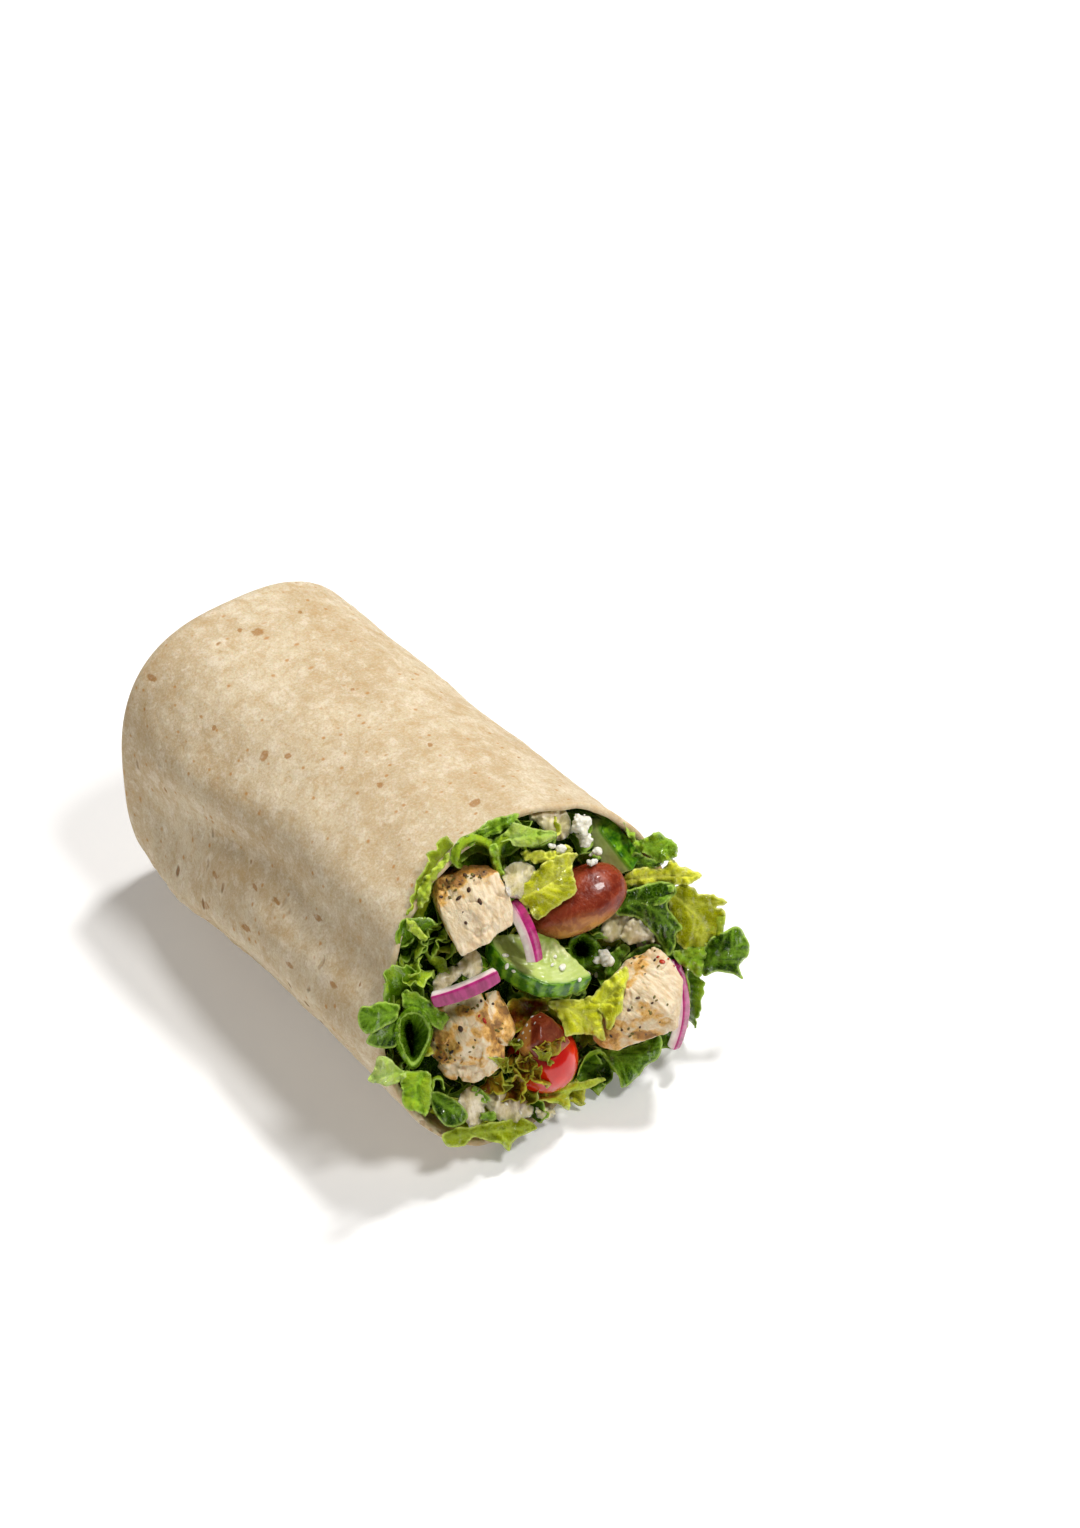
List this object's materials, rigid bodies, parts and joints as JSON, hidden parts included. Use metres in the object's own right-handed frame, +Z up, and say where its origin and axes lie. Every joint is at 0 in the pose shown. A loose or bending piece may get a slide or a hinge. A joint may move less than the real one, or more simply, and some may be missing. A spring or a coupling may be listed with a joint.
{
  "type": "gyro wrap half",
  "caption": "Half of a filled flatbread wrap, folded shut at one end and cut across at the other, showing grilled chicken and salad.",
  "frame": {"origin": "on the flat strip that the roll rests on, under its middle", "axes": "+X along the roll towards the cut face, +Z up, +Y to the side where the outer layer of bread ends low down"},
  "size_m": [0.1503, 0.1016, 0.0808],
  "materials": {
    "flatbread": "matte",
    "salad": "satin",
    "chicken": "satin",
    "olive": "gloss",
    "tomato": "gloss",
    "cucumber": "satin",
    "onion": "satin"
  },
  "bodies": {
    "root": {"flatbread": "flatbread", "salad": "salad", "chicken_upper_left": "chicken", "chicken_lower_left": "chicken", "chicken_right": "chicken", "olive_whole": "olive", "olive_half": "olive", "tomato": "tomato", "cucumber_front": "cucumber", "cucumber_back": "cucumber", "onion_middle": "onion", "onion_left": "onion", "onion_right": "onion"}
  },
  "joints": []
}
